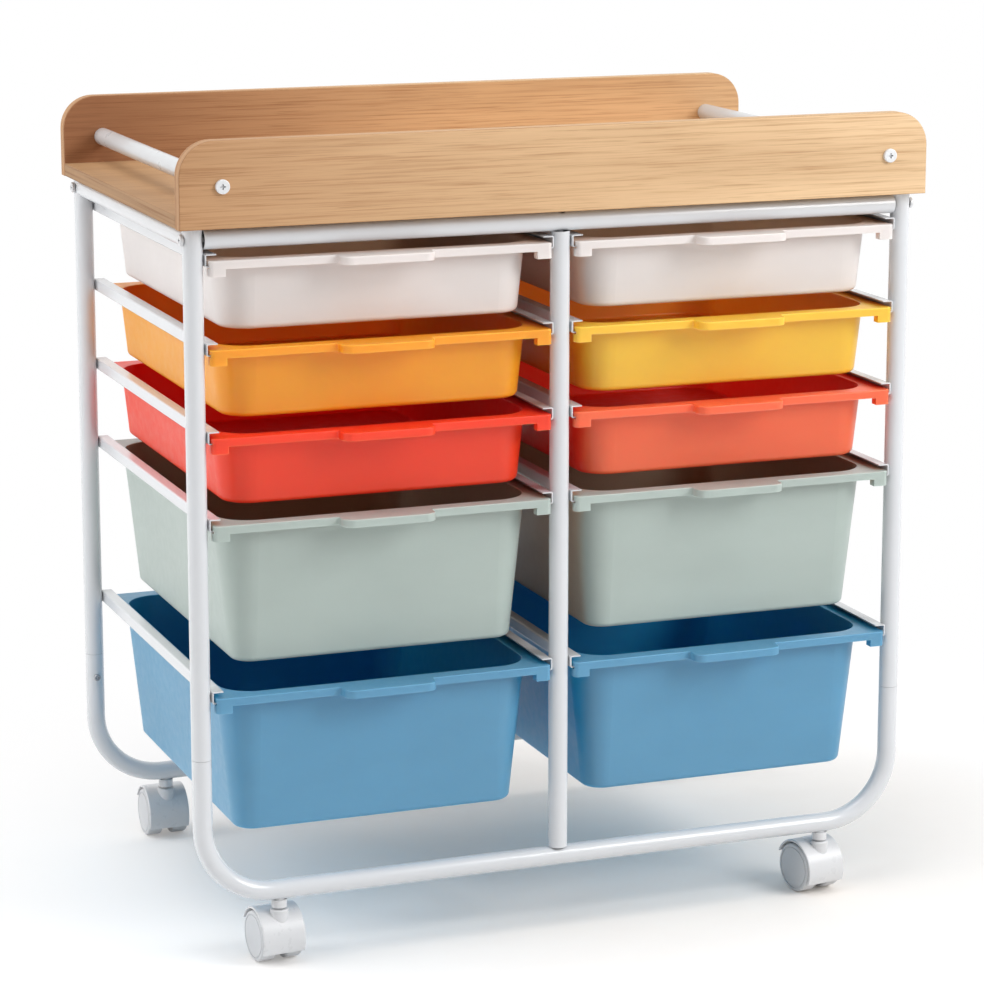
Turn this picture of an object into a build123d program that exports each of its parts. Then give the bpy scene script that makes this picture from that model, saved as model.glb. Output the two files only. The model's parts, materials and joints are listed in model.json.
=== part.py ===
from build123d import *
import os
from math import cos, radians, sqrt

# Rolling drawer cart: a frame of round tube on four twin-wheel casters, ten pull-out bins on folded
# runners in two columns, and a wooden tray on top. Millimetres. +Z is up, and +X is to the right of
# someone who stands in front of the drawers and looks along +Y. Pieces are laid out about the middle
# of the four legs, and each is moved by STAND_SHIFT as it is written, so that the origin is on the
# floor under the middle of the cart's outer box.

# Fits and cutting
CUT = 20.0              # how far a cutting shape runs past the face that it opens
SAME_PLACE = 0.01       # corners nearer than this are one corner
WELD_GAP = 0.05         # between welded tubes and sheets, and under screw heads
THREAD_GAP = 0.05       # screw to its threaded hole, plug to its tube, dowel to its hole
SCREW_GAP = 0.15        # screw to a plain hole
TURN_GAP = 0.05         # stem and axle to what turns on them
RUN_GAP = 0.3           # drawer rim to the runner flange that carries it

# Tube frame
TUBE_DIAMETER = 16.0
TUBE_WALL = 1.2
LEG_SPACING_Y = 346.0
BEND_RADIUS = 58.0      # lower tubes, at the axis
LOWER_LEG_LENGTH = 58.0 # straight end of a lower tube above its bend
SPIGOT_LENGTH = 40.0    # narrowed leg end inside the lower tube
SPIGOT_WALL = 1.0
NECK_LENGTH = 2.0       # full-width ring of the leg above its spigot
JOINT_GAP = 0.25        # open line round the leg between leg and lower tube
JOINT_SCREW_DROP = 21.0 # below the joint
PLUG_FLANGE = 1.5
PLUG_GAP = 1.0          # plug to the rail bolt under it
INSERT_SINK = 0.5       # threaded insert inside its tube's end
INSERT_LENGTH = 18.0

# Screws of the frame
FRAME_SCREW_DIAMETER = 5.0
FRAME_HEAD_DIAMETER = 9.0
FRAME_HEAD_HEIGHT = 2.6
FRAME_SCREW_GRIP = 13.0 # screwed into an insert
JOINT_SCREW_DIAMETER = 4.0
JOINT_SCREW_LENGTH = 7.0
JOINT_HEAD_DIAMETER = 6.0
JOINT_HEAD_HEIGHT = 1.8
RECESS_LENGTH = 4.2     # cross recess in a screw head
RECESS_WIDTH = 1.1
RECESS_DEPTH = 1.5

# Runners
SHEET = 1.0
RUNNER_HEIGHT = 10.0
RUNNER_FLANGE = 9.0     # over the web
RUNNER_REAR_REACH = 2.0 # behind the rear legs' axes
RUNNER_BEND = 1.4       # outside radius of the fold
SIDE_PLAY = 1.35        # drawer rim to the runner web

# Drawers
RIM_WIDTH = 285.2
RIM_FRONT_REACH = 11.0  # in front of the front legs' axes
RIM_REAR_REACH = 2.5    # behind the rear legs' axes
RIM_WALL = 2.2
RIM_CORNER = 4.0
RIM_EDGE = 0.8
STOP_GAP = 1.8          # rim band to the runners' front ends
BAND_HEIGHT = 6.5
BLOCK_WIDTH = 13.0
BLOCK_HEIGHT = 12.5
BLOCK_DEPTH = 8.0
BLOCK_GAP = 1.0         # block under the runner
HANDLE_WIDTH = 78.0
HANDLE_REACH = 15.0
HANDLE_CORNER = 9.0
HANDLE_FILLET = 2.0
BIN_SIDE_INSET = 10.5
BIN_FRONT_INSET = 11.5
BIN_REAR_INSET = 13.5
BIN_WALL = 2.0
BIN_CORNER = 30.0       # at the rim
BIN_BOTTOM_EDGE = 4.5
BIN_DRAFT_DEGREES = 6.0
SHALLOW_HEIGHT = 58.0
DEEP_HEIGHT = 119.5
SHALLOW_SPACE = 12.0    # under a shallow bin, down to the rim below
DEEP_SPACE = 20.5       # under a deep bin, down to the rim below
BOTTOM_SPACE = 39.8     # under the lowest bins, down to the lower tubes
TOP_SPACE = 3.0         # over the top runners, up to the rails

# Tray
TRAY_OVERHANG_X = 14.7  # past the legs' axes
TRAY_OVERHANG_Y = 17.5
PANEL_BOARD = 13.0
BASE_BOARD = 11.0
BOARD_EDGE = 1.0
PANEL_HEIGHT = 68.5
PANEL_CORNER = 28.0
ROD_DIAMETER = 15.0
ROD_INSET = 34.4        # from the tray's ends
ROD_HEIGHT = 33.0       # above the tray's underside
ROD_HEAD_DIAMETER = 11.5
ROD_HEAD_HEIGHT = 2.6
ROD_SCREW_GRIP = 20.0
DOWEL_DIAMETER = 6.0
DOWEL_BASE_DEPTH = 18.0
DOWEL_PANEL_DEPTH = 8.0
DOWEL_PLACE_SHARES = (-0.42, -0.14, 0.14, 0.42)
TRAY_SCREW_DIAMETER = 4.0
TRAY_SCREW_HEAD_DIAMETER = 7.5
TRAY_SCREW_HEAD_HEIGHT = 2.4
TRAY_SCREW_GRIP = 8.0
TRAY_SCREW_PLACE_SHARES = (-0.24, 0.24)
HOLE_END = 0.5          # blind hole past the end of what is in it

# Casters
CASTER_MARGIN = 5.0     # stem from the start of the lower tube's bend
WHEEL_DIAMETER = 42.0
WHEEL_WIDTH = 13.5
WHEEL_EDGE = 2.0
WHEEL_SIDE_GAP = 0.5
WHEEL_GROOVE_SHARE = 0.86
WHEEL_GROOVE_WIDTH = 0.9
WHEEL_GROOVE_DEPTH = 0.6
WHEEL_HUB_DIAMETER = 12.0
WHEEL_HOLLOW_SHARE = 0.79
WHEEL_HOLLOW_DEPTH = 8.0
TRAIL = 12.0            # axle behind the stem
WEB = 8.5               # hood's middle wall between the wheels
HOOD_GAP = 1.8
HOOD_WALL = 1.6
HOOD_EDGE = 0.9
HOOD_TILT_DEGREES = 25.0
HOOD_RISE = 25.2        # top of the hood's boss above the axle
HOOD_HUB_DIAMETER = 14.0
BOSS_DIAMETER = 15.0
BOSS_EDGE = 1.2
STEM_DIAMETER = 6.0
STEM_DEPTH = 16.0       # in the hood
STEM_END_GAP = 0.3
SWIVEL_GAP = 1.5        # hood to the socket's collar
COLLAR_DIAMETER = 12.6
COLLAR_HEIGHT = 6.5
SOCKET_DIAMETER = 9.0
SOCKET_END_GAP = 1.1    # under the top of the lower tube's bore
AXLE_DIAMETER = 5.0
AXLE_COVER = 2.7        # wheel disc over the axle's end
AXLE_END_GAP = 0.8
FRONT_LEFT_TURN_DEGREES = 5.0   # the front casters have swivelled a little, the rear ones trail straight
FRONT_RIGHT_TURN_DEGREES = 10.0

# Places that follow from the sizes
TUBE_RADIUS = TUBE_DIAMETER / 2
TUBE_BORE = TUBE_DIAMETER - 2 * TUBE_WALL
PLUG_DIAMETER = TUBE_BORE - 2 * THREAD_GAP
PLUG_DEPTH = TUBE_RADIUS - FRAME_SCREW_DIAMETER / 2 - PLUG_GAP
WHEEL_RADIUS = WHEEL_DIAMETER / 2
WHEEL_GROOVE_DIAMETER = WHEEL_GROOVE_SHARE * WHEEL_DIAMETER
WHEEL_HOLLOW_DIAMETER = WHEEL_HOLLOW_SHARE * WHEEL_DIAMETER
AXLE_REACH = WHEEL_WIDTH - AXLE_COVER - AXLE_END_GAP
HOOD_RADIUS = WHEEL_RADIUS + HOOD_GAP + HOOD_WALL
HOOD_TOP_Z = WHEEL_RADIUS + HOOD_RISE
COLLAR_Z = HOOD_TOP_Z + SWIVEL_GAP
LOWER_TUBE_Z = COLLAR_Z + COLLAR_HEIGHT + WELD_GAP + TUBE_RADIUS
SOCKET_TOP_Z = LOWER_TUBE_Z + sqrt(TUBE_BORE**2 - SOCKET_DIAMETER**2) / 2 - SOCKET_END_GAP
JOINT_Z = LOWER_TUBE_Z + BEND_RADIUS + LOWER_LEG_LENGTH
JOINT_SCREW_Z = JOINT_Z - JOINT_SCREW_DROP
LEVEL_HEIGHTS = (SHALLOW_HEIGHT, SHALLOW_HEIGHT, SHALLOW_HEIGHT, DEEP_HEIGHT, DEEP_HEIGHT)
RIM_5_Z = LOWER_TUBE_Z + TUBE_RADIUS + BOTTOM_SPACE + DEEP_HEIGHT
RIM_4_Z = RIM_5_Z + DEEP_SPACE + DEEP_HEIGHT
RIM_3_Z = RIM_4_Z + SHALLOW_SPACE + SHALLOW_HEIGHT
RIM_2_Z = RIM_3_Z + SHALLOW_SPACE + SHALLOW_HEIGHT
RIM_1_Z = RIM_2_Z + SHALLOW_SPACE + SHALLOW_HEIGHT
RIM_Z = (RIM_1_Z, RIM_2_Z, RIM_3_Z, RIM_4_Z, RIM_5_Z)
RAIL_Z = RIM_1_Z + RUNNER_HEIGHT / 2 + TOP_SPACE + TUBE_RADIUS
LEG_TOP_Z = RAIL_Z + TUBE_RADIUS
TRAY_Z = LEG_TOP_Z + PLUG_FLANGE

WEB_X = TUBE_RADIUS + WELD_GAP              # centre runners' webs, and legs' inner sides to their runners
RIM_INNER_X = WEB_X + SHEET + SIDE_PLAY
DRAWER_X = RIM_INNER_X + RIM_WIDTH / 2
LEG_X = RIM_INNER_X + RIM_WIDTH + SIDE_PLAY + SHEET + WEB_X
LEG_Y = LEG_SPACING_Y / 2
RAIL_END_X = LEG_X - TUBE_RADIUS - WELD_GAP
RAIL_END_Y = LEG_Y - TUBE_RADIUS - WELD_GAP
POST_LOW_Z = LOWER_TUBE_Z + TUBE_RADIUS + WELD_GAP
POST_HIGH_Z = RAIL_Z - TUBE_RADIUS - WELD_GAP
CASTER_X = LEG_X - BEND_RADIUS - CASTER_MARGIN

RIM_FRONT_Y = -LEG_Y - RIM_FRONT_REACH
RIM_REAR_Y = LEG_Y + RIM_REAR_REACH
RUNNER_FRONT_Y = RIM_FRONT_Y + RIM_WALL + STOP_GAP
RUNNER_REAR_Y = LEG_Y + RUNNER_REAR_REACH
LIP_HEIGHT = RUNNER_HEIGHT / 2 - SHEET - RUN_GAP
BLOCK_TOP = RUNNER_HEIGHT / 2 + BLOCK_GAP
BIN_WIDTH = RIM_WIDTH - 2 * BIN_SIDE_INSET
BIN_FRONT_Y = RIM_FRONT_Y + BIN_FRONT_INSET
BIN_REAR_Y = RIM_REAR_Y - BIN_REAR_INSET

TRAY_X = LEG_X + TRAY_OVERHANG_X
TRAY_Y = LEG_Y + TRAY_OVERHANG_Y
BASE_Y = TRAY_Y - PANEL_BOARD
ROD_X = TRAY_X - ROD_INSET
ROD_Z = TRAY_Z + ROD_HEIGHT
WHEEL_INNER_X = WEB / 2 + WHEEL_SIDE_GAP
CASTER_WIDTH = 2 * (WHEEL_INNER_X + WHEEL_WIDTH)

FRONT_REACH = max(HANDLE_REACH - RIM_FRONT_Y, TRAY_Y + ROD_HEAD_HEIGHT)
HOOD_REAR_REACH = max(WHEEL_RADIUS, HOOD_RADIUS * cos(radians(HOOD_TILT_DEGREES)))
REAR_REACH = max(LEG_Y + TRAIL + HOOD_REAR_REACH, TRAY_Y + ROD_HEAD_HEIGHT)
STAND_SHIFT = (FRONT_REACH - REAR_REACH) / 2

ENDS = (-1, 1)
SIDE_NAMES = {-1: "left", 1: "right"}
END_NAMES = {-1: "front", 1: "rear"}
FOOT = (Align.CENTER, Align.CENTER, Align.MIN)


def upright(x, y, low, high, diameter):
    """A round bar along Z."""
    return Pos(x, y, low) * Cylinder(diameter / 2, high - low, align=FOOT)


def along_x(y, z, low, high, diameter):
    """A round bar along X."""
    return Pos(low, y, z) * Rot(0, 90, 0) * Cylinder(diameter / 2, high - low, align=FOOT)


def along_y(x, z, low, high, diameter):
    """A round bar along Y."""
    return Pos(x, low, z) * Rot(-90, 0, 0) * Cylinder(diameter / 2, high - low, align=FOOT)


def block(low, high):
    """A box between two corners."""
    middle = [(a + b) / 2 for a, b in zip(low, high)]
    size = [b - a for a, b in zip(low, high)]
    return Pos(*middle) * Box(*size)


def screw(diameter, length, head_diameter, head_height):
    """A pan-head screw along +Z with its head's seat at the origin and a cross recess."""
    head = Pos(0, 0, -head_height) * Cylinder(head_diameter / 2, head_height, align=FOOT)
    head = fillet(head.edges().group_by(Axis.Z)[0], head_height / 3)
    cross = Rectangle(RECESS_LENGTH, RECESS_WIDTH) + Rectangle(RECESS_WIDTH, RECESS_LENGTH)
    recess = Pos(0, 0, -head_height) * extrude(cross, amount=RECESS_DEPTH)
    return head + upright(0, 0, 0, length, diameter) - recess


def group(shapes):
    """Separate solids that share one node."""
    return Compound([solid for shape in shapes for solid in shape.solids()])


# Frame


def leg(x, y):
    """An upper leg, with the narrowed end that goes into the lower tube."""
    spigot = TUBE_BORE - 2 * THREAD_GAP
    spigot_z = JOINT_Z - SPIGOT_LENGTH
    bore = spigot - 2 * SPIGOT_WALL
    body = upright(x, y, JOINT_Z, LEG_TOP_Z, TUBE_DIAMETER)
    body -= upright(x, y, JOINT_Z + NECK_LENGTH, LEG_TOP_Z + CUT, TUBE_BORE)
    body += upright(x, y, spigot_z, JOINT_Z, spigot)
    body -= upright(x, y, spigot_z - CUT, JOINT_Z + CUT, bore)
    body -= along_x(y, RAIL_Z, x - CUT, x + CUT, FRAME_SCREW_DIAMETER + 2 * SCREW_GAP)
    return body - joint_screw_hole(x, y, JOINT_SCREW_DIAMETER + 2 * THREAD_GAP)


def joint_screw_hole(x, y, diameter):
    """A cut through the side of a leg joint that faces the inside of the cart."""
    if y < 0:
        return along_y(x, JOINT_SCREW_Z, y, y + CUT, diameter)
    return along_y(x, JOINT_SCREW_Z, y - CUT, y, diameter)


def joint_screw(x, y):
    """The screw that locks a leg in its lower tube, from the inside of the cart."""
    inward = -1 if y > 0 else 1
    seat = y + inward * (TUBE_RADIUS + WELD_GAP)
    part = screw(JOINT_SCREW_DIAMETER, JOINT_SCREW_LENGTH, JOINT_HEAD_DIAMETER, JOINT_HEAD_HEIGHT)
    return Pos(x, seat, JOINT_SCREW_Z) * Rot(90 * inward, 0, 0) * part


def lower_tube(y):
    """A tube along the floor with both ends bent up into the leg joints."""
    end_z = JOINT_Z - JOINT_GAP
    corners = [
        (-LEG_X, y, end_z),
        (-LEG_X, y, LOWER_TUBE_Z),
        (LEG_X, y, LOWER_TUBE_Z),
        (LEG_X, y, end_z),
    ]
    path = FilletPolyline(*corners, radius=BEND_RADIUS)
    ring = Circle(TUBE_RADIUS) - Circle(TUBE_BORE / 2)
    body = sweep(Plane(path @ 0, z_dir=path % 0) * ring, path=path)
    for side in ENDS:
        socket_hole = SOCKET_DIAMETER + 2 * THREAD_GAP
        body -= upright(side * CASTER_X, y, LOWER_TUBE_Z - CUT, LOWER_TUBE_Z, socket_hole)
        body -= joint_screw_hole(side * LEG_X, y, JOINT_SCREW_DIAMETER + 2 * SCREW_GAP)
    body -= upright(0, y, LOWER_TUBE_Z, LOWER_TUBE_Z + CUT, FRAME_SCREW_DIAMETER + 2 * SCREW_GAP)
    return body - upright(0, y, LOWER_TUBE_Z - CUT, LOWER_TUBE_Z, FRAME_HEAD_DIAMETER + 2 * SCREW_GAP)


def cross_rail(y):
    """A front or rear top rail, with its screws' heads inside and holes to reach them."""
    body = along_x(y, RAIL_Z, -RAIL_END_X, RAIL_END_X, TUBE_DIAMETER)
    body -= along_x(y, RAIL_Z, -RAIL_END_X - CUT, RAIL_END_X + CUT, TUBE_BORE)
    for x in tray_screw_places():
        body -= upright(x, y, RAIL_Z, RAIL_Z + CUT, TRAY_SCREW_DIAMETER + 2 * SCREW_GAP)
        body -= upright(x, y, RAIL_Z - CUT, RAIL_Z, TRAY_SCREW_HEAD_DIAMETER + 2 * SCREW_GAP)
    body -= upright(0, y, RAIL_Z - CUT, RAIL_Z, FRAME_SCREW_DIAMETER + 2 * SCREW_GAP)
    return body - upright(0, y, RAIL_Z, RAIL_Z + CUT, FRAME_HEAD_DIAMETER + 2 * SCREW_GAP)


def side_rail(x):
    """A left or right top rail, welded between the legs."""
    body = along_y(x, RAIL_Z, -RAIL_END_Y, RAIL_END_Y, TUBE_DIAMETER)
    return body - along_y(x, RAIL_Z, -RAIL_END_Y - CUT, RAIL_END_Y + CUT, TUBE_BORE)


def centre_post(y):
    """A post between the lower tube and the top rail."""
    body = upright(0, y, POST_LOW_Z, POST_HIGH_Z, TUBE_DIAMETER)
    return body - upright(0, y, POST_LOW_Z - CUT, POST_HIGH_Z + CUT, TUBE_BORE)


def threaded_insert():
    """A plug along +Z with a screw thread's hole through it, pressed into a tube's end."""
    hole = upright(0, 0, -CUT, INSERT_LENGTH + CUT, FRAME_SCREW_DIAMETER + 2 * THREAD_GAP)
    return upright(0, 0, 0, INSERT_LENGTH, PLUG_DIAMETER) - hole


def rail_insert(side, y):
    x = side * (RAIL_END_X - INSERT_SINK)
    return Pos(x, y, RAIL_Z) * Rot(0, -90 * side, 0) * threaded_insert()


def rail_bolt(side, y):
    """The bolt through a leg's top into the rail."""
    length = TUBE_DIAMETER + 2 * WELD_GAP + INSERT_SINK + FRAME_SCREW_GRIP
    part = screw(FRAME_SCREW_DIAMETER, length, FRAME_HEAD_DIAMETER, FRAME_HEAD_HEIGHT)
    return Pos(side * (LEG_X + TUBE_RADIUS + WELD_GAP), y, RAIL_Z) * Rot(0, -90 * side, 0) * part


def post_inserts(y):
    top = Pos(0, y, POST_HIGH_Z - INSERT_SINK) * Rot(180, 0, 0) * threaded_insert()
    bottom = Pos(0, y, POST_LOW_Z + INSERT_SINK) * threaded_insert()
    return [top, bottom]


def post_screws(y):
    """The screws in a post's ends, their heads inside the lower tube and the top rail."""
    seat = sqrt(TUBE_BORE**2 - FRAME_HEAD_DIAMETER**2) / 2 - WELD_GAP
    length = TUBE_RADIUS - seat + WELD_GAP + INSERT_SINK + FRAME_SCREW_GRIP
    part = screw(FRAME_SCREW_DIAMETER, length, FRAME_HEAD_DIAMETER, FRAME_HEAD_HEIGHT)
    return [
        Pos(0, y, LOWER_TUBE_Z + seat) * part,
        Pos(0, y, RAIL_Z - seat) * Rot(180, 0, 0) * part,
    ]


def leg_plug(x, y):
    """A plug in a leg's top, whose flange carries the tray."""
    flange = upright(x, y, LEG_TOP_Z, TRAY_Z, TUBE_DIAMETER)
    return flange + upright(x, y, LEG_TOP_Z - PLUG_DEPTH, LEG_TOP_Z, PLUG_DIAMETER)


def runner(web_x, inward, rim_z):
    """A C-shaped runner, its web's outer face at web_x and its mouth towards the drawer."""
    inner_x = web_x + inward * RUNNER_FLANGE
    low_z = rim_z - RUNNER_HEIGHT / 2
    high_z = rim_z + RUNNER_HEIGHT / 2
    low = (min(web_x, inner_x), RUNNER_FRONT_Y, low_z)
    high = (max(web_x, inner_x), RUNNER_REAR_Y, high_z)
    body = block(low, high)
    folds = body.edges().filter_by(Axis.Y).sort_by(Axis.X)
    body = fillet(folds[:2] if inward > 0 else folds[-2:], RUNNER_BEND)
    near = web_x + inward * SHEET
    far = inner_x + inward * CUT
    mouth_low = (min(near, far), RUNNER_FRONT_Y - CUT, low_z + SHEET)
    mouth_high = (max(near, far), RUNNER_REAR_Y + CUT, high_z - SHEET)
    return body - block(mouth_low, mouth_high)


# Drawers: x = 0 at the middle of the bin and z = 0 at the rim's top


def rim_outline():
    """The rim with its handle, seen from above."""
    depth = RIM_REAR_Y - RIM_FRONT_Y
    rim = Pos(0, RIM_FRONT_Y + depth / 2) * RectangleRounded(RIM_WIDTH, depth, RIM_CORNER)
    handle = Pos(0, RIM_FRONT_Y) * RectangleRounded(HANDLE_WIDTH, 2 * HANDLE_REACH, HANDLE_CORNER)
    outline = rim + handle
    roots = [
        corner
        for corner in outline.vertices()
        if abs(corner.Y - RIM_FRONT_Y) < SAME_PLACE and abs(abs(corner.X) - HANDLE_WIDTH / 2) < SAME_PLACE
    ]
    return fillet(roots, HANDLE_FILLET)


def bin_block(height, inset):
    """The tapered bin as a full block, with its faces moved in by inset."""
    width = BIN_WIDTH - 2 * inset
    depth = BIN_REAR_Y - BIN_FRONT_Y - 2 * inset
    top = Pos(0, (BIN_FRONT_Y + BIN_REAR_Y) / 2) * RectangleRounded(width, depth, BIN_CORNER - inset)
    body = extrude(top, amount=inset - height, taper=BIN_DRAFT_DEGREES)
    return fillet(body.edges().group_by(Axis.Z)[0], BIN_BOTTOM_EDGE - inset)


def corner_block(outline, side):
    """The thick front corner of a rim. It is under the runner, and in front of the runner's end."""
    outer = side * RIM_WIDTH / 2
    x = outer - side * BLOCK_WIDTH / 2
    front = outline & Pos(x, RIM_FRONT_Y + RIM_WALL / 2) * Rectangle(BLOCK_WIDTH, RIM_WALL)
    foot = outline & Pos(x, RIM_FRONT_Y + BLOCK_DEPTH / 2) * Rectangle(BLOCK_WIDTH, BLOCK_DEPTH)
    lower = Pos(0, 0, -BLOCK_TOP) * extrude(foot, amount=BLOCK_TOP - BLOCK_HEIGHT)
    return extrude(front, amount=-BLOCK_HEIGHT) + lower


def drawer(height):
    """A one-piece moulded bin with its rim, handle lip and corner blocks."""
    outline = rim_outline()
    skirt = extrude(outline - offset(outline, amount=-RIM_WALL), amount=-BAND_HEIGHT)
    behind = (-RIM_WIDTH, RIM_FRONT_Y + RIM_WALL, -BAND_HEIGHT - CUT)
    skirt -= block(behind, (RIM_WIDTH, RIM_REAR_Y + CUT, -LIP_HEIGHT))
    body = extrude(outline, amount=-RIM_WALL) + skirt
    for side in ENDS:
        body += corner_block(outline, side)
    body += bin_block(height, 0)
    body -= bin_block(height, BIN_WALL)
    top = body.edges().group_by(Axis.Z)[-1]
    return fillet(top, RIM_EDGE)


# Tray


def tray_screw_places():
    return [share * 2 * TRAY_X for share in TRAY_SCREW_PLACE_SHARES]


def dowel_places():
    return [share * 2 * TRAY_X for share in DOWEL_PLACE_SHARES]


def dowel_bar(x, end, past):
    """A dowel between base and panel, or with past its hole."""
    inner = end * (BASE_Y - DOWEL_BASE_DEPTH - past)
    outer = end * (BASE_Y + DOWEL_PANEL_DEPTH + past)
    diameter = DOWEL_DIAMETER + (2 * THREAD_GAP if past else 0)
    return along_y(x, TRAY_Z + BASE_BOARD / 2, min(inner, outer), max(inner, outer), diameter)


def tray_base():
    body = block((-TRAY_X, -BASE_Y, TRAY_Z), (TRAY_X, BASE_Y, TRAY_Z + BASE_BOARD))
    body = fillet(body.edges().filter_by(Axis.Y), BOARD_EDGE)
    for end in ENDS:
        for x in dowel_places():
            body -= dowel_bar(x, end, HOLE_END)
        for x in tray_screw_places():
            depth = TRAY_SCREW_GRIP + HOLE_END
            hole = TRAY_SCREW_DIAMETER + 2 * THREAD_GAP
            body -= upright(x, end * LEG_Y, TRAY_Z - CUT, TRAY_Z + depth, hole)
    return body


def tray_panel(end):
    """A long side of the tray, its two top corners rounded."""
    face = Pos(0, PANEL_HEIGHT / 2) * Rectangle(2 * TRAY_X, PANEL_HEIGHT)
    face = fillet(face.vertices().group_by(Axis.Y)[-1], PANEL_CORNER)
    half = PANEL_BOARD / 2
    body = Pos(0, end * (BASE_Y + half), TRAY_Z) * Rot(90, 0, 0) * extrude(face, amount=half, both=True)
    sides = body.faces().sort_by(Axis.Y)
    body = fillet(sides[0].edges() + sides[-1].edges(), BOARD_EDGE)
    for x in dowel_places():
        body -= dowel_bar(x, end, HOLE_END)
    for side in ENDS:
        y = end * TRAY_Y
        body -= along_y(side * ROD_X, ROD_Z, y - CUT, y + CUT, FRAME_SCREW_DIAMETER + 2 * SCREW_GAP)
    return body


def tray_rod(side):
    """A round bar across an open end of the tray, with a screw hole in each end."""
    body = along_y(side * ROD_X, ROD_Z, -BASE_Y, BASE_Y, ROD_DIAMETER)
    depth = ROD_SCREW_GRIP + HOLE_END
    hole = FRAME_SCREW_DIAMETER + 2 * THREAD_GAP
    body -= along_y(side * ROD_X, ROD_Z, -BASE_Y - CUT, -BASE_Y + depth, hole)
    return body - along_y(side * ROD_X, ROD_Z, BASE_Y - depth, BASE_Y + CUT, hole)


def rod_bolt(side, end):
    """The wide-headed bolt through a panel into a rod."""
    part = screw(FRAME_SCREW_DIAMETER, PANEL_BOARD + ROD_SCREW_GRIP, ROD_HEAD_DIAMETER, ROD_HEAD_HEIGHT)
    return Pos(side * ROD_X, end * TRAY_Y, ROD_Z) * Rot(90 * end, 0, 0) * part


def tray_screw(x, y):
    """A screw from inside a top rail up into the tray's base."""
    seat = RAIL_Z + sqrt(TUBE_BORE**2 - TRAY_SCREW_HEAD_DIAMETER**2) / 2 - WELD_GAP
    length = TRAY_Z + TRAY_SCREW_GRIP - seat
    part = screw(TRAY_SCREW_DIAMETER, length, TRAY_SCREW_HEAD_DIAMETER, TRAY_SCREW_HEAD_HEIGHT)
    return Pos(x, y, seat) * part


# Casters: x = y = 0 at the stem and z = 0 at the floor


def caster_socket():
    """The sleeve in the lower tube, with the collar under it."""
    tube_under = LOWER_TUBE_Z - TUBE_RADIUS - WELD_GAP
    body = upright(0, 0, COLLAR_Z, tube_under, COLLAR_DIAMETER)
    body += upright(0, 0, tube_under, SOCKET_TOP_Z, SOCKET_DIAMETER)
    return body - upright(0, 0, COLLAR_Z - CUT, SOCKET_TOP_Z + CUT, STEM_DIAMETER + 2 * THREAD_GAP)


def caster_stem():
    low = HOOD_TOP_Z - STEM_DEPTH + STEM_END_GAP
    return upright(0, 0, low, SOCKET_TOP_Z, STEM_DIAMETER)


def caster_hood():
    """A barrel over both wheels with a wall between them and a boss for the stem."""
    barrel = along_x(TRAIL, WHEEL_RADIUS, -CASTER_WIDTH / 2, CASTER_WIDTH / 2, 2 * HOOD_RADIUS)
    barrel = fillet(barrel.edges().filter_by(GeomType.CIRCLE), HOOD_EDGE)
    size = 2 * (HOOD_RADIUS + CASTER_WIDTH)
    below = Pos(0, 0, -size / 2) * Box(size, size, size)
    body = barrel - Pos(0, TRAIL, WHEEL_RADIUS) * Rot(HOOD_TILT_DEGREES, 0, 0) * below
    boss = upright(0, 0, WHEEL_RADIUS, HOOD_TOP_Z, BOSS_DIAMETER)
    body += fillet(boss.edges().group_by(Axis.Z)[-1], BOSS_EDGE)
    body += along_x(TRAIL, WHEEL_RADIUS, -WEB / 2, WEB / 2, HOOD_HUB_DIAMETER)
    pocket = 2 * (WHEEL_RADIUS + HOOD_GAP)
    body -= along_x(TRAIL, WHEEL_RADIUS, WEB / 2, CASTER_WIDTH / 2 + CUT, pocket)
    body -= along_x(TRAIL, WHEEL_RADIUS, -CASTER_WIDTH / 2 - CUT, -WEB / 2, pocket)
    body -= upright(0, 0, HOOD_TOP_Z - STEM_DEPTH, HOOD_TOP_Z + CUT, STEM_DIAMETER + 2 * TURN_GAP)
    return body - along_x(TRAIL, WHEEL_RADIUS, -CUT, CUT, AXLE_DIAMETER + 2 * THREAD_GAP)


def caster_axle():
    reach = WHEEL_INNER_X + AXLE_REACH
    return along_x(TRAIL, WHEEL_RADIUS, -reach, reach, AXLE_DIAMETER)


def caster_wheel(side):
    """A wheel with a blind hub, hollow towards the hood's middle wall."""
    body = Cylinder(WHEEL_RADIUS, WHEEL_WIDTH, align=FOOT)
    body = fillet(body.edges(), WHEEL_EDGE)
    hollow = upright(0, 0, -CUT, WHEEL_HOLLOW_DEPTH, WHEEL_HOLLOW_DIAMETER)
    body -= hollow - upright(0, 0, -CUT, WHEEL_HOLLOW_DEPTH, WHEEL_HUB_DIAMETER)
    body -= upright(0, 0, -CUT, AXLE_REACH + AXLE_END_GAP, AXLE_DIAMETER + 2 * TURN_GAP)
    face = WHEEL_WIDTH - WHEEL_GROOVE_DEPTH
    groove = upright(0, 0, face, WHEEL_WIDTH + CUT, WHEEL_GROOVE_DIAMETER)
    body -= groove - upright(0, 0, face, WHEEL_WIDTH + CUT, WHEEL_GROOVE_DIAMETER - 2 * WHEEL_GROOVE_WIDTH)
    return Pos(side * WHEEL_INNER_X, TRAIL, WHEEL_RADIUS) * Rot(0, 90 * side, 0) * body


# The whole cart


def tray_nodes():
    corners = [(side, end) for end in ENDS for side in ENDS]
    return {
        "tray_base": tray_base(),
        "tray_front_panel": tray_panel(-1),
        "tray_rear_panel": tray_panel(1),
        "tray_left_rod": tray_rod(-1),
        "tray_right_rod": tray_rod(1),
        "tray_rod_bolts": group(rod_bolt(side, end) for side, end in corners),
        "tray_dowels": group(dowel_bar(x, end, 0) for end in ENDS for x in dowel_places()),
        "tray_mount_screws": group(tray_screw(x, end * LEG_Y) for end in ENDS for x in tray_screw_places()),
    }


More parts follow.
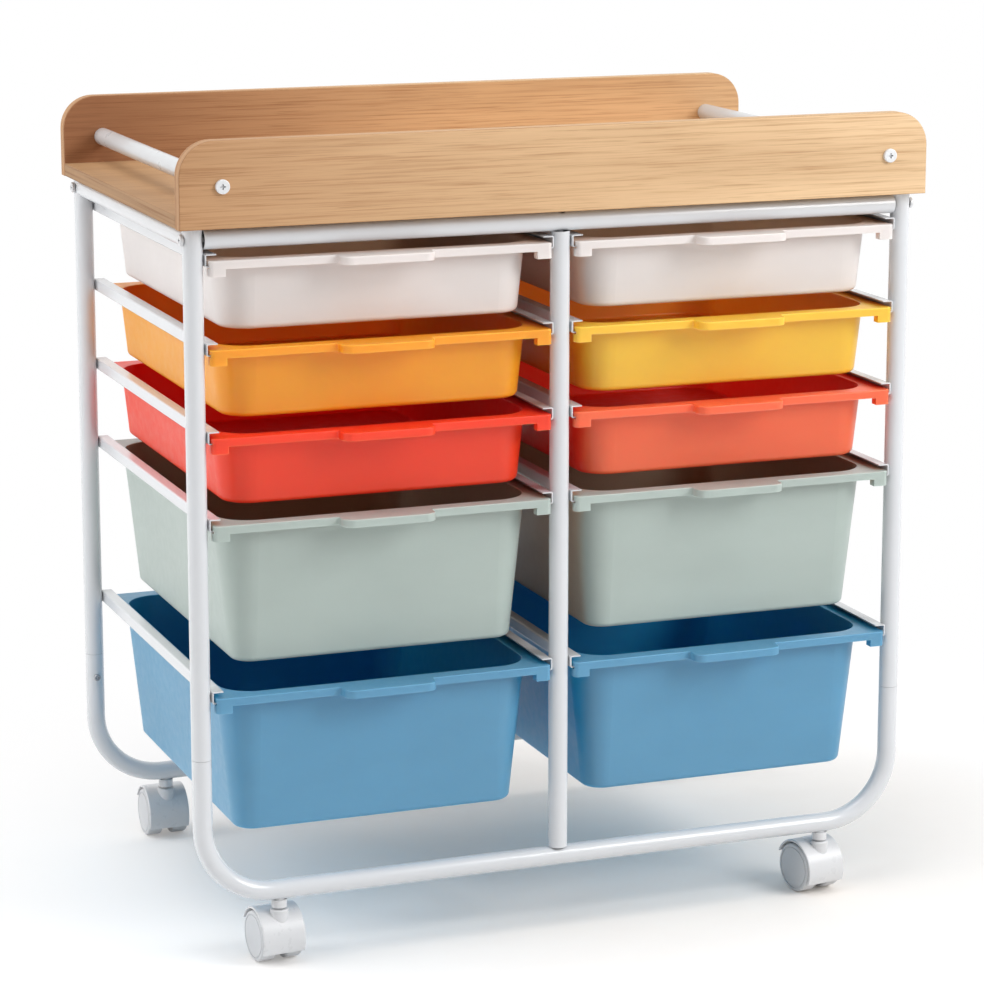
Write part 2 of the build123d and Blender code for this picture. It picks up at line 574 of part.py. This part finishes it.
def frame_nodes():
    corners = [(side, end) for end in ENDS for side in ENDS]
    places = [(side * LEG_X, end * LEG_Y) for side, end in corners]
    nodes = {}
    for side, end in corners:
        nodes[f"{END_NAMES[end]}_{SIDE_NAMES[side]}_leg"] = leg(side * LEG_X, end * LEG_Y)
    for end in ENDS:
        nodes[f"{END_NAMES[end]}_lower_tube"] = lower_tube(end * LEG_Y)
        nodes[f"{END_NAMES[end]}_top_rail"] = cross_rail(end * LEG_Y)
        nodes[f"{END_NAMES[end]}_centre_post"] = centre_post(end * LEG_Y)
    for side in ENDS:
        nodes[f"{SIDE_NAMES[side]}_top_rail"] = side_rail(side * LEG_X)
        leg_web = side * (LEG_X - WEB_X)
        nodes[f"{SIDE_NAMES[side]}_runners"] = group(runner(leg_web, -side, z) for z in RIM_Z)
        nodes[f"centre_{SIDE_NAMES[side]}_runners"] = group(runner(side * WEB_X, side, z) for z in RIM_Z)
    nodes["leg_plugs"] = group(leg_plug(x, y) for x, y in places)
    nodes["leg_joint_screws"] = group(joint_screw(x, y) for x, y in places)
    nodes["top_rail_bolts"] = group(rail_bolt(side, end * LEG_Y) for side, end in corners)
    nodes["top_rail_inserts"] = group(rail_insert(side, end * LEG_Y) for side, end in corners)
    nodes["post_screws"] = group(post_screws(-LEG_Y) + post_screws(LEG_Y))
    nodes["post_inserts"] = group(post_inserts(-LEG_Y) + post_inserts(LEG_Y))
    return nodes


def drawer_nodes():
    bins = {height: drawer(height) for height in set(LEVEL_HEIGHTS)}
    nodes = {}
    for side in ENDS:
        for level, (height, z) in enumerate(zip(LEVEL_HEIGHTS, RIM_Z), start=1):
            nodes[f"{SIDE_NAMES[side]}_drawer_{level}"] = Pos(side * DRAWER_X, 0, z) * bins[height]
    return nodes


def caster_nodes():
    corners = [(side, end) for end in ENDS for side in ENDS]
    places = [Pos(side * CASTER_X, end * LEG_Y) for side, end in corners]
    socket, stem, hood, axle = caster_socket(), caster_stem(), caster_hood(), caster_axle()
    turns = {(-1, -1): FRONT_LEFT_TURN_DEGREES, (1, -1): FRONT_RIGHT_TURN_DEGREES}
    nodes = {
        "caster_sockets": group(place * socket for place in places),
        "caster_stems": group(place * stem for place in places),
    }
    for (side, end), place in zip(corners, places):
        name = f"{END_NAMES[end]}_{SIDE_NAMES[side]}_caster"
        turned = place * Rot(0, 0, turns.get((side, end), 0))
        nodes[f"{name}_hood"] = turned * hood
        nodes[f"{name}_axle"] = turned * axle
        for wheel_side in ENDS:
            nodes[f"{name}_{SIDE_NAMES[wheel_side]}_wheel"] = turned * caster_wheel(wheel_side)
    return nodes


os.makedirs("parts", exist_ok=True)
for name, shape in {**tray_nodes(), **frame_nodes(), **drawer_nodes(), **caster_nodes()}.items():
    export_step(Pos(0, STAND_SHIFT, 0) * shape, f"parts/{name}.step")
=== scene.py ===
import json
from math import cos, radians, sin

import bpy
from mathutils import Matrix, Vector


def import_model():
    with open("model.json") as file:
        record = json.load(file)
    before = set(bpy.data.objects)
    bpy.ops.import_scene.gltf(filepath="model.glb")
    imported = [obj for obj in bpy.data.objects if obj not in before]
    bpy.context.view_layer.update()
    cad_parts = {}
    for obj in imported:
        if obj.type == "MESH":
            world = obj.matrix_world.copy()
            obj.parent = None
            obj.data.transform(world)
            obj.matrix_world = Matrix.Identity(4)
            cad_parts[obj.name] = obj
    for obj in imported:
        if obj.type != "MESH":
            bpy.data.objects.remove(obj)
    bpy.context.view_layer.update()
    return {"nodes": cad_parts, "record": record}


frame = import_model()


# Colours

WHITE = (1, 1, 1, 1)
BLACK = (0, 0, 0, 1)
DISPLAY_WHITE = 255
# The display's curve: a straight toe up to its end, and a power above it
TOE_END, TOE_SLOPE = 0.04045, 12.92
CURVE_OFFSET, CURVE_POWER = 0.055, 2.4


def linear(red, green, blue):
    """A colour given as 0 to 255 display values, as the shaders take it."""
    def channel(value):
        value /= DISPLAY_WHITE
        if value <= TOE_END:
            return value / TOE_SLOPE
        return ((value + CURVE_OFFSET) / (1 + CURVE_OFFSET)) ** CURVE_POWER
    return (channel(red), channel(green), channel(blue), 1)


def shade(colour, factor):
    """A colour made darker or lighter by a factor."""
    return tuple(channel * factor for channel in colour[:3]) + (1,)


# Node trees

# Sockets of a mix node that are used when it mixes colours
MIX_FACTOR, MIX_FIRST, MIX_SECOND, MIX_RESULT = 0, 6, 7, 2
# Most of a noise pattern lies between these values
NOISE_LOW, NOISE_HIGH = 0.3, 0.7
# Where a ramp's new stop starts, before it gets its own place
NEW_STOP = 0.5


class Tree:
    """A node tree that is put together a few nodes at a time."""

    def __init__(self, tree):
        self.nodes = tree.nodes
        self.links = tree.links

    def feed(self, socket, value):
        """Links another socket to this one, or sets this one's own value."""
        if isinstance(value, bpy.types.NodeSocket):
            self.links.new(value, socket)
        else:
            socket.default_value = value

    def add(self, kind, inputs=None, **settings):
        """A new node with its settings made and its inputs fed."""
        node = self.nodes.new("ShaderNode" + kind)
        for key, value in settings.items():
            setattr(node, key, value)
        for key, value in (inputs or {}).items():
            self.feed(node.inputs[key], value)
        return node

    def between(self, value, start, end, low=0.0, high=1.0, **settings):
        """A value that goes from low to high while the given one goes from start to end."""
        inputs = {"Value": value, "From Min": start, "From Max": end, "To Min": low, "To Max": high}
        return self.add("MapRange", inputs, **settings).outputs["Result"]

    def seen(self):
        """1 where a thing is seen, directly, mirrored or through another, 0 where it only lights others."""
        path = self.add("LightPath").outputs
        seen = path["Is Camera Ray"]
        for name in ("Is Glossy Ray", "Is Transmission Ray"):
            seen = self.add("Math", {0: seen, 1: path[name]}, operation="MAXIMUM").outputs[0]
        return seen


class Surface(Tree):
    """A material with one main shader. Its patterns follow the object's coordinates, in metres."""

    def __init__(self, name):
        self.material = bpy.data.materials.new(name)
        self.material.use_nodes = True
        super().__init__(self.material.node_tree)
        self.shader = self.nodes["Principled BSDF"]
        coordinates = self.add("TexCoord").outputs
        self.place = coordinates["Object"]
        self.facing = coordinates["Normal"]

    def noise(self, scale=1.0, detail=2.0, roughness=0.5, distortion=0.0, stretch=None):
        """Noise of a scale per metre, which can differ along the axes."""
        vector = self.place
        if stretch:
            vector = self.add("Mapping", {"Vector": vector, "Scale": stretch}).outputs["Vector"]
        inputs = {"Vector": vector, "Scale": scale, "Detail": detail, "Roughness": roughness,
                  "Distortion": distortion}
        return self.add("TexNoise", inputs).outputs["Fac"]

    def ramp(self, factor, stops):
        """Colours along a factor. Each stop is a position and a colour."""
        node = self.add("ValToRGB", {"Fac": factor})
        elements = node.color_ramp.elements
        while len(elements) < len(stops):
            elements.new(NEW_STOP)
        for element, (position, colour) in zip(elements, stops):
            element.position = position
            element.color = colour
        return node.outputs["Color"]

    def spread(self, noise, low, high):
        """Noise that lies mostly between low and high."""
        return self.between(noise, NOISE_LOW, NOISE_HIGH, low, high)

    def mix(self, factor, first, second, blend="MIX"):
        inputs = {MIX_FACTOR: factor, MIX_FIRST: first, MIX_SECOND: second}
        return self.add("Mix", inputs, data_type="RGBA", blend_type=blend).outputs[MIX_RESULT]

    def tinted(self, colour, tint, weight=1.0):
        """A colour times a tint."""
        return self.mix(weight, colour, tint, "MULTIPLY")

    def set(self, **inputs):
        """Feeds inputs of the shader, which are named in small letters with underscores."""
        for key, value in inputs.items():
            name = key.replace("_", " ")
            self.feed(next(s for s in self.shader.inputs if s.name.lower() == name), value)

    def bump(self, height, strength, distance):
        inputs = {"Height": height, "Strength": strength, "Distance": distance}
        self.set(normal=self.add("Bump", inputs).outputs["Normal"])


# Moulded plastic

FLOW = {"scale": 9.0, "detail": 3.0, "stretch": (1.0, 1.0, 2.2)}
FLOW_SHADES = (0.96, 1.03)
MOTTLE = {"scale": 140.0, "detail": 3.0}
MOTTLE_SMOOTHER, MOTTLE_ROUGHER = 0.05, 0.06
SKIN = {"scale": 2600.0, "detail": 1.0}
SKIN_STRENGTH, SKIN_DISTANCE = 0.04, 0.0002
# How far away walls still count as close, in metres, and the open shares where painted shade deepens the
# colour
PAINTED_SHADE_REACH = 0.40
PAINTED_SHADE_START, PAINTED_SHADE_END = 0.38, 0.16
SCATTER_RADIUS = (1, 1, 1)


def moulded_plastic(name, colour, roughness, painted_shade_colour=None, scatter=0.0, depth=0.0):
    """Satin moulded plastic: slow drift of tone from the mould's flow and a fine matt skin.

    Thin walls let light through, and painted shade turns the colour to the given shade colour where walls
    stand close: in interiors, corners and gaps between drawers.
    """
    surface = Surface(name)
    drift = surface.noise(**FLOW)
    dark, light = FLOW_SHADES
    tone = surface.ramp(drift, [(NOISE_LOW, shade(colour, dark)), (NOISE_HIGH, shade(colour, light))])
    # Painted shade: the colour deepens where ambient occlusion finds walls close by
    if painted_shade_colour:
        open_share = surface.add("AmbientOcclusion", {"Distance": PAINTED_SHADE_REACH}).outputs["AO"]
        painted_shade_share = surface.between(open_share, PAINTED_SHADE_START, PAINTED_SHADE_END)
        tone = surface.mix(painted_shade_share, tone, painted_shade_colour)
    mottle = surface.noise(**MOTTLE)
    mottled = surface.spread(mottle, roughness - MOTTLE_SMOOTHER, roughness + MOTTLE_ROUGHER)
    surface.set(base_color=tone, roughness=mottled)
    if scatter:
        surface.set(subsurface_weight=scatter, subsurface_radius=SCATTER_RADIUS, subsurface_scale=depth)
    surface.bump(surface.noise(**SKIN), SKIN_STRENGTH, SKIN_DISTANCE)
    return surface.material


# Paint

COAT = {"scale": 14.0}
COAT_SHADE = 0.975
PEEL = {"scale": 150.0, "detail": 1.0, "roughness": 0.4}
PEEL_STRENGTH, PEEL_DISTANCE = 0.02, 0.0003
CLOUD = {"scale": 60.0}
CLOUD_ROUGHNESS = 0.03
CLEAR_SKIN = {"coat_weight": 0.5, "coat_roughness": 0.14}
# Painted shade in recesses, such as a bolt's cross: how far the occlusion looks, and its dark stops
RECESS_SHADE_REACH = 0.0016
RECESS_SHADE_STOPS = [(0.12, (0.08, 0.08, 0.08, 1)), (0.45, WHITE)]


def painted(name, colour, roughness, shade_recesses=False):
    """White baked paint with a slight orange peel under a clear skin. Recesses get painted shade."""
    surface = Surface(name)
    drift = surface.noise(**COAT)
    tone = surface.ramp(drift, [(NOISE_LOW, shade(colour, COAT_SHADE)), (NOISE_HIGH, colour)])
    # Painted shade: recesses darkened by ambient occlusion
    if shade_recesses:
        open_share = surface.add("AmbientOcclusion", {"Distance": RECESS_SHADE_REACH}).outputs["AO"]
        tone = surface.tinted(tone, surface.ramp(open_share, RECESS_SHADE_STOPS))
    peel = surface.noise(**PEEL)
    cloud = surface.noise(**CLOUD)
    clouded = surface.spread(cloud, roughness - CLOUD_ROUGHNESS, roughness + CLOUD_ROUGHNESS)
    surface.set(base_color=tone, roughness=clouded, **CLEAR_SKIN)
    surface.bump(peel, PEEL_STRENGTH, PEEL_DISTANCE)
    return surface.material


# Oak-faced board, with its grain along X and layered edges

Y_AXIS, Z_AXIS = 1, 2
OAK_LIGHT, OAK_DARK = linear(222, 184, 141), linear(193, 148, 104)
DOWEL_LIGHT, DOWEL_DARK = linear(216, 190, 150), linear(196, 164, 120)
BROAD = {"detail": 3.0, "distortion": 0.5, "stretch": (2.4, 17.0, 17.0)}
BROAD_STOPS = [(0.28, (0.86, 0.83, 0.80, 1)), (0.55, WHITE), (0.8, (1.04, 1.04, 1.05, 1))]
STREAK = {"detail": 6.0, "roughness": 0.66, "distortion": 0.3, "stretch": (8.0, 520.0, 520.0)}
STREAK_DARK_END, STREAK_MIDDLE, STREAK_LIGHT_END = 0.30, 0.50, 0.70
STREAK_SHADES = (0.97, 1.04)
DASH = {"distortion": 0.2, "stretch": (18.0, 1000.0, 1000.0)}
PORE_STOPS = [(0.30, (0.66, 0.58, 0.50, 1)), (0.40, WHITE)]
PORE_WEIGHT = 0.55
PORE_STRENGTH, PORE_DISTANCE = 0.14, 0.0004
LAYER_SCALE, LAYER_FINE_SCALE = 5.0, 520.0
LAYER_DARK_END, LAYER_MIDDLE, LAYER_LIGHT_END = 0.36, 0.48, 0.7
LAYER_SHADES = (0.98, 0.92, 1.04)
# How squarely a face looks along the thin axis: a board's face above the range, its edge below
FACE_FROM, EDGE_FROM = 0.75, 0.55
ARRIS_STOPS = [(0.25, WHITE), (0.6, (0.74, 0.68, 0.62, 1)), (0.93, WHITE)]
# Painted light and shade along the tray: the tone goes from painted shade at its left end to painted light
# at its right end, in metres
LEFT_END, RIGHT_END = -0.32, 0.32
MIDDLE, END = 0.5, 1.0
RIGHT_LIGHT = (1.09, 1.16, 1.22, 1)
# Painted shade on faces that look to the front: where it runs along the tray, its right tone, and how
# squarely a face looks to the front
INNER_LEFT, INNER_RIGHT = 0.05, 0.6
INNER_RIGHT_SHADE = (0.92, 0.86, 0.80, 1)
INNER_FROM, INNER_FULL = -0.6, -0.8
OAK_ROUGHNESS = (0.56, 0.70)
OAK_SPECULAR = 0.35


def oak(name, thin, left_shade, band_tone=1.0, inner_shade=None, light=OAK_LIGHT, dark=OAK_DARK):
    """Oak-faced board with painted shade towards the left and painted light towards the right. Its edges
    are those across the thin axis.

    The inner shade is painted shade on a face that looks to the front, darkest at its left end.
    """
    surface = Surface(name)
    broad = surface.noise(**BROAD)
    streak = surface.noise(**STREAK)
    dash = surface.noise(**DASH)
    plain, bright = STREAK_SHADES
    tone = surface.ramp(streak, [(STREAK_DARK_END, dark), (STREAK_MIDDLE, shade(light, plain)),
                                 (STREAK_LIGHT_END, shade(light, bright))])
    tone = surface.tinted(tone, surface.ramp(broad, BROAD_STOPS))
    tone = surface.tinted(tone, surface.ramp(dash, PORE_STOPS), PORE_WEIGHT)

    stretch = [LAYER_SCALE] * 3
    stretch[thin] = LAYER_FINE_SCALE
    layers = surface.noise(stretch=stretch)
    deep, plain, bright = (factor * band_tone for factor in LAYER_SHADES)
    band = surface.ramp(layers, [(LAYER_DARK_END, shade(dark, deep)), (LAYER_MIDDLE, shade(light, plain)),
                                 (LAYER_LIGHT_END, shade(light, bright))])
    facing = surface.add("SeparateXYZ", {"Vector": surface.facing}).outputs
    across = surface.add("Math", {0: facing[thin]}, operation="ABSOLUTE").outputs[0]
    tone = surface.mix(surface.between(across, FACE_FROM, EDGE_FROM), tone, band)
    tone = surface.tinted(tone, surface.ramp(across, ARRIS_STOPS))

    # Painted light and shade: darker towards the left end, lighter towards the right end
    along = surface.add("SeparateXYZ", {"Vector": surface.place}).outputs["X"]
    share = surface.between(along, LEFT_END, RIGHT_END)
    painted_light_tint = surface.ramp(share, [(0.0, left_shade), (MIDDLE, WHITE), (END, RIGHT_LIGHT)])
    # Painted shade on the left part of a face that looks to the front
    if inner_shade:
        inner_shade_tint = surface.ramp(share, [(INNER_LEFT, inner_shade), (INNER_RIGHT, INNER_RIGHT_SHADE)])
        inner = surface.between(facing["Y"], INNER_FROM, INNER_FULL)
        painted_light_tint = surface.mix(inner, painted_light_tint, inner_shade_tint)
    tone = surface.tinted(tone, painted_light_tint)
    surface.set(base_color=tone, roughness=surface.spread(streak, *OAK_ROUGHNESS))
    surface.set(specular_ior_level=OAK_SPECULAR)
    surface.bump(dash, PORE_STRENGTH, PORE_DISTANCE)
    return surface.material


# Plated steel

DRAWN = {"detail": 3.0, "roughness": 0.6, "stretch": (900.0, 900.0, 90.0)}
DRAWN_SHADE = 0.86
DRAWN_ROUGHNESS = (0.28, 0.46)
DRAWN_STRENGTH, DRAWN_DISTANCE = 0.08, 0.0002


def plated_steel(name, colour):
    """Zinc-plated steel with a faint drawn grain."""
    surface = Surface(name)
    grain = surface.noise(**DRAWN)
    tone = surface.ramp(grain, [(NOISE_LOW, shade(colour, DRAWN_SHADE)), (NOISE_HIGH, colour)])
    surface.set(base_color=tone, metallic=1.0, roughness=surface.spread(grain, *DRAWN_ROUGHNESS))
    surface.bump(grain, DRAWN_STRENGTH, DRAWN_DISTANCE)
    return surface.material


# Materials by slot, and those of single nodes

BIN_ROUGHNESS = 0.38
# Colour, painted shade colour where walls stand close, share of light that the walls scatter, depth in
# metres
BINS = {
    "bin_white": (linear(228, 221, 218), linear(244, 208, 188), 0.60, 0.005),
    "bin_orange": (linear(249, 159, 36), linear(250, 132, 20), 0.75, 0.006),
    "bin_red": (linear(249, 64, 30), linear(250, 22, 14), 0.75, 0.006),
    "bin_yellow": (linear(250, 191, 62), linear(252, 156, 38), 0.75, 0.006),
    "bin_coral": (linear(248, 107, 68), linear(252, 52, 32), 0.75, 0.006),
    "bin_grey": (linear(177, 189, 183), linear(190, 168, 144), 0.60, 0.003),
    "bin_blue": (linear(95, 154, 188), linear(34, 154, 200), 0.60, 0.003),
}
# Painted shade for the left end of the boards, and for the rear board's face that looks to the front
OAK_LEFT_SHADE = (0.75, 0.64, 0.57, 1)
BASE_LEFT_SHADE = (0.57, 0.50, 0.44, 1)
REAR_INNER_SHADE = (0.41, 0.26, 0.19, 1)
MATERIALS = {
    name: moulded_plastic(name, colour, BIN_ROUGHNESS, painted_shade_colour, scatter, depth)
    for name, (colour, painted_shade_colour, scatter, depth) in BINS.items()
}
MATERIALS |= {
    "tray_wood": oak("tray_wood", Y_AXIS, OAK_LEFT_SHADE, band_tone=0.80),
    "dowel_wood": oak("dowel_wood", Y_AXIS, WHITE, light=DOWEL_LIGHT, dark=DOWEL_DARK),
    "tray_white": painted("tray_white", linear(199, 201, 203), roughness=0.30),
    "frame_white": painted("frame_white", linear(216, 218, 221), roughness=0.24),
    "bolt_white": painted("bolt_white", linear(214, 215, 217), roughness=0.30, shade_recesses=True),
    "caster_white": moulded_plastic("caster_white", linear(217, 218, 220), roughness=0.30),
    "wheel_white": moulded_plastic("wheel_white", linear(204, 206, 209), roughness=0.36),
    "plug_white": moulded_plastic("plug_white", linear(232, 232, 233), roughness=0.45),
    "insert_black": moulded_plastic("insert_black", linear(36, 36, 38), roughness=0.50),
    "fastener_steel": plated_steel("fastener_steel", linear(170, 171, 175)),
}
SINGLE = {
    "tray_base": oak("base_board", Z_AXIS, BASE_LEFT_SHADE, band_tone=0.85),
    "tray_rear_panel": oak("rear_board", Y_AXIS, OAK_LEFT_SHADE, band_tone=0.85, inner_shade=REAR_INNER_SHADE),
    "tray_rod_bolts": painted("rod_bolt_white", linear(226, 227, 229), roughness=0.30, shade_recesses=True),
}
for part in frame["record"]["subparts"]:
    materials = frame["nodes"][part["node"]].data.materials
    materials.clear()
    materials.append(SINGLE.get(part["node"], MATERIALS[part["material_slot"]]))


# Floor

FLOOR_HALF = 40.0
FLOOR_CENTRE = (0.12, 0, 0)
# Distances from that centre where the floor runs out into white, and where its warm tone ends
FADE_START, FADE_END = 0.24, 0.80
WARM_START, WARM_END = 0.22, 0.46
FLOOR_SPECKLE = {"scale": 30.0, "detail": 3.0}
FLOOR_STOPS = [(NOISE_LOW, (0.90, 0.86, 0.82, 1)), (NOISE_HIGH, (0.92, 0.88, 0.84, 1))]
FLOOR_OUTER = (0.88, 0.88, 0.88, 1)
FLOOR_ROUGHNESS = 0.8
FLOOR_GLOW = 0.09
FLOOR_GLOW_TONE = (1.0, 0.90, 0.80, 1)


def floor():
    """A plain pale floor. It keeps the cart's shadow and runs out into the white surroundings."""
    low, high = -FLOOR_HALF, FLOOR_HALF
    corners = [(low, low, 0), (high, low, 0), (high, high, 0), (low, high, 0)]
    mesh = bpy.data.meshes.new("floor")
    mesh.from_pydata(corners, [], [(0, 1, 2, 3)])
    piece = bpy.data.objects.new("floor", mesh)
    bpy.context.scene.collection.objects.link(piece)

    surface = Surface("floor")
    seen = surface.seen()
    reach = surface.add("VectorMath", {0: surface.place, 1: FLOOR_CENTRE}, operation="DISTANCE")
    reach = reach.outputs["Value"]
    away = surface.between(reach, FADE_START, FADE_END, interpolation_type="SMOOTHSTEP")
    fade = surface.add("Math", {0: away, 1: seen}, operation="MULTIPLY").outputs[0]
    tone = surface.ramp(surface.noise(**FLOOR_SPECKLE), FLOOR_STOPS)
    beside = surface.between(reach, WARM_START, WARM_END)
    tone = surface.mix(beside, tone, FLOOR_OUTER)
    glow = surface.between(fade, 0.0, 1.0, FLOOR_GLOW, 1.0)
    surface.set(base_color=surface.mix(fade, tone, BLACK), roughness=FLOOR_ROUGHNESS)
    surface.set(specular_ior_level=0.0)
    surface.set(emission_color=surface.mix(beside, FLOOR_GLOW_TONE, WHITE))
    glow = surface.add("Math", {0: glow, 1: seen}, operation="MULTIPLY").outputs[0]
    surface.set(emission_strength=glow)
    mesh.materials.append(surface.material)


# Light

AMBIENT_DIM, AMBIENT_BRIGHT = 0.16, 0.85
DIM_SIDE = (-0.5, -0.85, 0.1)
LIGHT_TARGET = (0, 0, 0.40)
# Place and size in metres, and power in watts
SOFTBOXES = {
    "left": ((-2.3, 0.4, 1.3), (1.8, 1.8), 29),
    "right": ((1.6, -1.8, 1.75), (1.4, 1.4), 48),
    "top": ((-0.7, -0.3, 3.0), (2.4, 2.0), 38),
}


def world():
    """White surroundings: full white where they are seen, dimmer on one side where they give light."""
    sky = bpy.data.worlds.new("studio")
    bpy.context.scene.world = sky
    sky.use_nodes = True
    tree = Tree(sky.node_tree)
    background = tree.nodes["Background"].inputs
    background["Color"].default_value = WHITE
    direction = tree.add("TexCoord").outputs["Generated"]
    towards = tree.add("VectorMath", {0: direction, 1: DIM_SIDE}, operation="DOT_PRODUCT")
    light = tree.between(towards.outputs["Value"], -1.0, 1.0, AMBIENT_BRIGHT, AMBIENT_DIM)
    tree.feed(background["Strength"], tree.between(tree.seen(), 0.0, 1.0, light, 1.0))


def softbox(name, place, size, power):
    """A rectangular soft light that points at the cart."""
    lamp = bpy.data.lights.new(name, "AREA")
    lamp.shape = "RECTANGLE"
    lamp.size, lamp.size_y = size
    lamp.energy = power
    piece = bpy.data.objects.new(name, lamp)
    bpy.context.scene.collection.objects.link(piece)
    aim = (Vector(LIGHT_TARGET) - Vector(place)).to_track_quat("-Z", "Y")
    piece.matrix_world = Matrix.Translation(place) @ aim.to_matrix().to_4x4()


# Camera

PICTURE_WIDTH = 984             # pixels
FOCAL_LENGTH = 3327.66          # pixels
SHIFT = -60                     # pixels
AZIMUTH, ELEVATION = 20.83, 11.46
CAMERA_TARGET = (0.00732, -0.00406, 0.38898)
CAMERA_DISTANCE = 2.87558
SENSOR_WIDTH = 36.0             # millimetres
FAR_CLIP = 200.0


def camera():
    """The photograph's point of view."""
    azimuth, elevation = radians(AZIMUTH), radians(ELEVATION)
    level = cos(elevation)
    back = Vector((-sin(azimuth) * level, -cos(azimuth) * level, sin(elevation)))
    right = Vector((0, 0, 1)).cross(back).normalized()
    up = back.cross(right)
    data = bpy.data.cameras.new("camera")
    data.sensor_width = SENSOR_WIDTH
    data.lens = FOCAL_LENGTH / PICTURE_WIDTH * SENSOR_WIDTH
    data.shift_y = SHIFT / PICTURE_WIDTH
    data.clip_end = FAR_CLIP
    piece = bpy.data.objects.new("camera", data)
    bpy.context.scene.collection.objects.link(piece)
    turn = Matrix((right, up, back)).transposed().to_4x4()
    place = Vector(CAMERA_TARGET) + back * CAMERA_DISTANCE
    piece.matrix_world = Matrix.Translation(place) @ turn
    bpy.context.scene.camera = piece


floor()
world()
for name, (place, size, power) in SOFTBOXES.items():
    softbox(name, place, size, power)
camera()
bpy.context.scene.view_settings.view_transform = "Standard"
